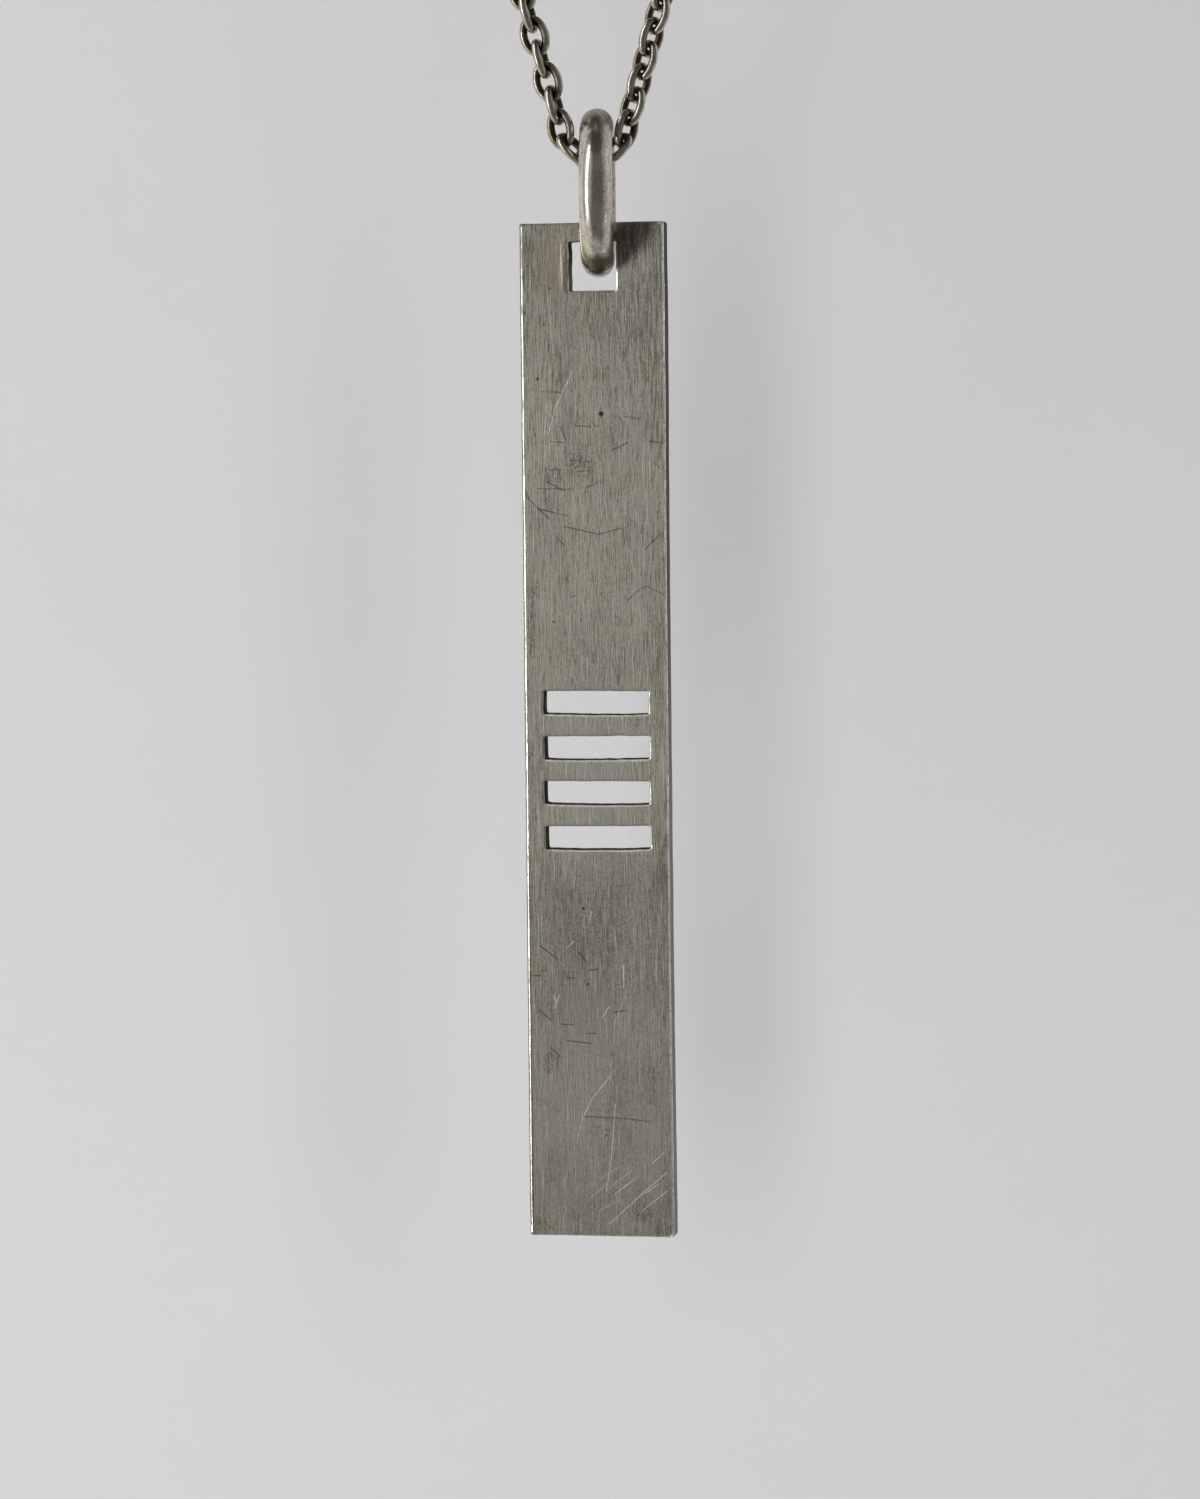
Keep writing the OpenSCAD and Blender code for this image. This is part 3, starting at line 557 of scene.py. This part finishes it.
def buildBail(material):
    steps, sides = bail["steps"], bail["sides"]
    points, faces, inner = [], [], []
    for i in range(steps):
        around = 2 * math.pi * i / steps
        for j in range(sides):
            turn = 2 * math.pi * j / sides
            x, out = math.cos(turn), math.sin(turn)
            spot = Vector((x * 0.7, 3 * math.cos(around), 3 * math.sin(around)))
            wire = bail["wire"] + bail["uneven"] * noise.noise(spot)
            radius = bail["radius"] + wire * out
            points.append((wire * x, radius * math.cos(around), radius * math.sin(around)))
            inner.append(-out)
            n, m = (i + 1) % steps, (j + 1) % sides
            faces.append((i * sides + j, i * sides + m, n * sides + m, n * sides + j))
    piece = addPiece("ringBail", points, faces, material, {"innerSide": inner})
    piece.matrix_world = (Matrix.Translation((bail["shift"] * mm, 0, bail["middle"] * mm))
                          @ Matrix.Rotation(math.radians(bail["turn"]), 4, "Z"))
    return piece


ringBail = buildBail(bailSilver())
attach(ringBail, "ring")
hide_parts("ring")
print("ring made")

# the cable chain: oval links set along the same path as the frame's
chain = {
    "reach": 1.16, "half": 0.77, "endRadius": 0.62, "wire": 0.28, "pitch": 1.615, "low": -291.706,
    "turnRadius": 2.22, "lean": 15.7, "strand": 230.0, "curve": 150.0, "leftRun": 6.66, "rightRun": 6.5,
    "leftRoll": 17.0, "rightRoll": 45.0, "endStep": 6.931, "halfRun": 330.79, "count": 200,
    "pathFrom": 4, "frontCount": 10, "innerDark": 0.75, "endDark": 0.35,
    "turnLinks": [  # number, x, y, height, lean and roll of the links at the ring
        (-3, -2.70, -0.03, 3.65, 165.4, 112.3), (-2, -2.31, -0.08, 2.02, 169.1, 32.3),
        (-1, -1.45, -0.24, 0.63, 134.0, 124.6), (0, 0.0, 0.0, 0.0, 90.0, 45.0),
        (1, 1.42, -0.24, 0.60, 47.0, 128.0),
        (2, 2.22, -0.05, 1.95, 13.0, 47.0), (3, 2.65, 0.0, 3.53, 17.0, 135.0),
    ],
    "silver": (0.56, 0.526, 0.434), "tarnish": (0.085, 0.067, 0.039), "roughness": 0.18, "bump": 0.0006,
}


def chainPath(run):
    # x, height and tilt of one side of the chain, by the length from the lowest point
    lean = math.radians(chain["lean"])
    radius, curve = chain["turnRadius"], chain["curve"]
    turn = radius * (math.pi / 2 - lean)
    start = curve / math.tan(lean)
    if run < turn:
        w = run / radius
        return radius * math.sin(w), radius * (1 - math.cos(w)), 90 - math.degrees(w)

    def strand(u):
        x = radius * math.cos(lean) + curve * (math.asinh((u + start) / curve) - math.asinh(start / curve))
        z = radius * (1 - math.sin(lean)) + math.hypot(curve, u + start) - math.hypot(curve, start)
        return x, z, math.degrees(math.atan2(curve, u + start))

    if run < turn + chain["strand"]:
        return strand(run - turn)
    x, z, tilt = strand(chain["strand"])
    arch = x / math.cos(math.radians(tilt))
    w = (run - turn - chain["strand"]) / arch - math.radians(tilt)
    return arch * math.cos(w), z + arch * math.sin(math.radians(tilt)) + arch * math.sin(w), -math.degrees(w)


def linkPlace(index):
    for number, x, y, height, lean, roll in chain["turnLinks"]:
        if number == index:
            return x, y, height, lean, roll
    side = 1 if index > 0 else -1
    number = abs(index)
    start = chain["rightRun"] if side > 0 else chain["leftRun"]
    roll = chain["rightRoll"] if side > 0 else chain["leftRoll"]
    run = start + (number - chain["pathFrom"]) * chain["pitch"]
    if number > chain["frontCount"]:  # the rest of the side is shared out evenly up to the clasp
        first = start + (chain["frontCount"] - chain["pathFrom"]) * chain["pitch"]
        share = (number - chain["frontCount"]) / (chain["count"] - chain["frontCount"])
        run = first + (chain["halfRun"] - chain["endStep"] - first) * share
        roll *= 1 - share
    x, z, lean = chainPath(run)
    return side * x, 0.0, z, lean if side > 0 else 180 - lean, roll + 90 * (number % 2)


def linkShape(sideSteps, endSteps, around):
    reach, half, end, wire = chain["reach"], chain["half"], chain["endRadius"], chain["wire"]
    radius = ((reach - end) ** 2 + half ** 2 - end ** 2) / (2 * (half - end))
    sweep = math.atan2(reach - end, radius - half)
    path = []
    for flip in (1, -1):
        for k in range(sideSteps):
            w = -sweep + 2 * sweep * k / sideSteps
            path.append((flip * (half - radius + radius * math.cos(w)), flip * radius * math.sin(w),
                         flip * math.cos(w), flip * math.sin(w)))
        for k in range(endSteps):
            w = sweep + (math.pi - 2 * sweep) * k / endSteps
            path.append((flip * end * math.cos(w), flip * (reach - end + end * math.sin(w)),
                         flip * math.cos(w), flip * math.sin(w)))
    points, inner = [], []
    for x, z, outX, outZ in path:
        for k in range(around):
            w = 2 * math.pi * k / around
            points.append((x + wire * math.cos(w) * outX, wire * math.sin(w), z + wire * math.cos(w) * outZ))
            inner.append(-math.cos(w) * chain["innerDark"] + chain["endDark"] * (abs(z) / reach) ** 2)
    count = len(path)
    faces = []
    for i in range(count):
        for j in range(around):
            n, m = (i + 1) % count, (j + 1) % around
            faces.append((i * around + j, n * around + j, n * around + m, i * around + m))
    return points, faces, inner


def buildLinks(name, numbers, shape, material):
    points, faces, marks = [], [], []
    basePoints, baseFaces, baseInner = shape
    for index in numbers:
        x, y, z, lean, roll = linkPlace(index)
        move = (Matrix.Translation((x, y, z + chain["low"])) @ Matrix.Rotation(math.radians(lean), 4, "Y")
                @ Matrix.Rotation(math.radians(roll), 4, "Z"))
        start = len(points)
        points += [tuple(move @ Vector(p)) for p in basePoints]
        faces += [tuple(start + k for k in face) for face in baseFaces]
        marks += baseInner
    return addPiece(name, points, faces, material, {"innerSide": marks})


def chainSilver():
    material, make, place = startMaterial("agedChainSilver")
    inner = marked(make, "innerSide")
    patch = grain(make, place, (1.1, 1.1, 1.1), 3.0, 0.6, (4.0, 1.0, 2.0))
    fine = grain(make, place, (4.0, 4.0, 4.0), 3.0, 0.55)
    share = plus(make, fade(make, inner, -0.5, 0.5, 0.0, 1.0), fade(make, patch, 0.35, 0.68, -0.08, 0.28))
    share = plus(make, share, fade(make, fine, 0.35, 0.68, -0.05, 0.08), clamp=True)
    tone = blend(make, share, chain["silver"], chain["tarnish"])
    rough = plus(make, fade(make, fine, 0.3, 0.7, chain["roughness"] - 0.05, chain["roughness"] + 0.08),
                 times(make, share, 0.16))
    return finishMetal(material, make, tone, rough, fine, chain["bump"])


agedSilver = chainSilver()
frontNumbers = range(-chain["frontCount"], chain["frontCount"] + 1)
frontChain = buildLinks("frontChain", frontNumbers, linkShape(16, 14, 20), agedSilver)
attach(frontChain, "chain")
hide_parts("link_low", *[f"link_{side}_{k}" for side in ("left", "right") for k in range(1, 11)])
for side, sign in (("Left", -1), ("Right", 1)):
    numbers = [sign * k for k in range(chain["frontCount"] + 1, chain["count"])]
    backChain = buildLinks("backChain" + side, numbers, linkShape(6, 8, 10), agedSilver)
    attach(backChain, "chain")
    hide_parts("back_chain_" + side.lower())
for name in ("end_link_left", "end_link_right", "jump_ring_left", "jump_ring_right", "clasp"):
    nodes[name].data.materials.clear()
    nodes[name].data.materials.append(agedSilver)
print("chain made with", 2 * chain["count"] + 1, "links")

# pale wall and floor in one sweep, soft studio light, and dark cards that only reflections see
studio = {
    "wall": 65.0, "floor": -500.0, "cove": 80.0, "coveSteps": 10, "top": 900.0,
    "near": -2500.0, "far": 2500.0, "halfWidth": 1600.0, "tone": 0.72, "topShade": 0.92, "world": 0.42,
    "aim": -325.0, "cardSteps": (24, 8),
    "lamps": [  # name, what it lights, degrees to the left, degrees up, distance, width, height, brightness
        ("leftStrip", "rest", 64, 8, 450, 60, 980, 9.0),
        ("barStrip", "bar", 64, 8, 450, 45, 980, 0.6),
        ("rightHigh", "all", -102, 18, 350, 80, 230, 0.95),
        ("rightLow", "all", -76, -32, 350, 90, 210, 1.25),
        ("barKey", "bar", 47, -1, 900, 200, 260, 21.7),
        ("barRim", "bar", -69, 0, 400, 40, 420, 8.0),
        ("wallKey", "stage", 9.5, 3, 900, 90, 320, 16.0),
        ("wallFill", "stage", -17, 8, 900, 110, 320, 6.0),
    ],
    "flags": [  # name, degrees left from and to, degrees up from and to, distance, its middle, brightness
        ("frontFlag", -62, 27, -40, 52, 700, -325.0, 0.14),
        ("topFlag", -180, 180, 50, 90, 720, -325.0, 0.06),
        ("hoodFlag", 110, 250, 52, 80, 104, -290.0, 0.06),
        ("lowFlag", -75, 46, -62, -6, 160, -325.0, 0.14),
        ("floorFlag", -110, 110, -90, -62, 160, -325.0, 0.42),
    ],
}


def buildSweep():
    wall, floor, cove, half = studio["wall"], studio["floor"], studio["cove"], studio["halfWidth"]
    profile = [(wall, studio["top"]), (wall, floor + cove)]
    for k in range(1, studio["coveSteps"] + 1):
        w = math.pi / 2 * k / studio["coveSteps"]
        profile.append((wall - cove + cove * math.cos(w), floor + cove - cove * math.sin(w)))
    profile.append((studio["near"], floor))
    points = [(x, y, z) for y, z in profile for x in (-half, half)]
    faces = [(2 * k, 2 * k + 2, 2 * k + 3, 2 * k + 1) for k in range(len(profile) - 1)]
    material, make, place = startMaterial("paleSweep")
    high = make("SeparateXYZ", {0: place}).outputs["Z"]
    high = plus(make, high, fade(make, grain(make, place, (0.02, 0.02, 0.02)), 0.3, 0.7, -12.0, 12.0))
    # painted shade: the wall is painted darker towards the top and paler low down
    pale, shaded = (studio["tone"],) * 3, (studio["tone"] * studio["topShade"],) * 3
    colour = blend(make, fade(make, high, -390.0, -270.0), pale, shaded)
    paper = make("BsdfDiffuse", {"Color": colour}).outputs[0]
    clear = make("BsdfTransparent").outputs[0]
    behind = make("NewGeometry").outputs["Backfacing"]  # from behind, the wall lets the view through
    make("OutputMaterial", {"Surface": make("MixShader", {0: behind, 1: paper, 2: clear}).outputs[0]})
    sweep = addPiece("paleSweep", points, faces, material)
    foot, far = wall - cove, studio["far"]
    points = [(x, y, floor - 1.0) for x, y in ((-half, foot), (half, foot), (half, far), (-half, far))]
    rear = addPiece("rearFloor", points, [(0, 1, 2, 3)], material)
    return [sweep, rear]


def towards(left, up):
    a, e = math.radians(left), math.radians(up)
    return Vector((-math.sin(a) * math.cos(e), -math.cos(a) * math.cos(e), math.sin(e)))


def buildFlags():
    across, rise = studio["cardSteps"]
    for name, left0, left1, up0, up1, away, middle, brightness in studio["flags"]:
        material = bpy.data.materials.new(name)
        material.use_nodes = True
        material.node_tree.nodes.clear()
        make = nodeMaker(material.node_tree)
        glow = make("Emission", {"Color": (1.0, 1.0, 1.0, 1.0), "Strength": brightness})
        make("OutputMaterial", {"Surface": glow.outputs[0]})
        points, faces = [], []
        for j in range(rise + 1):
            for i in range(across + 1):
                left, up = left0 + (left1 - left0) * i / across, up0 + (up1 - up0) * j / rise
                points.append(Vector((0, 0, middle)) + away * towards(left, up))
        for j in range(rise):
            for i in range(across):
                a, b = j * (across + 1) + i, (j + 1) * (across + 1) + i
                faces.append((a, a + 1, b + 1, b))
        flag = addPiece(name, points, faces, material)
        flag.visible_camera = flag.visible_diffuse = flag.visible_shadow = False


def buildLamps(groups):
    aim = Vector((0.0, 0.0, studio["aim"]))
    for name, lit, left, up, distance, width, height, brightness in studio["lamps"]:
        data = bpy.data.lights.new(name, "AREA")
        data.shape = "RECTANGLE"
        data.size, data.size_y = width * mm, height * mm
        data.energy = brightness * math.pi * width * height * mm * mm
        lamp = bpy.data.objects.new(name, data)
        bpy.context.scene.collection.objects.link(lamp)
        away = towards(left, up) * distance
        turn = (-away).to_track_quat("-Z", "Y").to_matrix().to_4x4()
        lamp.matrix_world = Matrix.Translation((aim + away) * mm) @ turn
        lamp.visible_camera = False
        if lit in groups:
            lamp.light_linking.receiver_collection = groups[lit]
    world = bpy.data.worlds.new("paleRoom")
    bpy.context.scene.world = world
    world.use_nodes = True
    world.node_tree.nodes["Background"].inputs[0].default_value = (studio["world"],) * 3 + (1.0,)


litGroups = {lit: bpy.data.collections.new("lit" + lit.capitalize()) for lit in ("bar", "stage", "rest")}
litGroups["bar"].objects.link(plateBar)
litGroups["rest"].objects.link(plateBar)
litGroups["rest"].collection_objects[0].light_linking.link_state = "EXCLUDE"
for sheet in buildSweep():
    litGroups["stage"].objects.link(sheet)
buildFlags()
buildLamps(litGroups)
print("studio made")

print("scene finished")
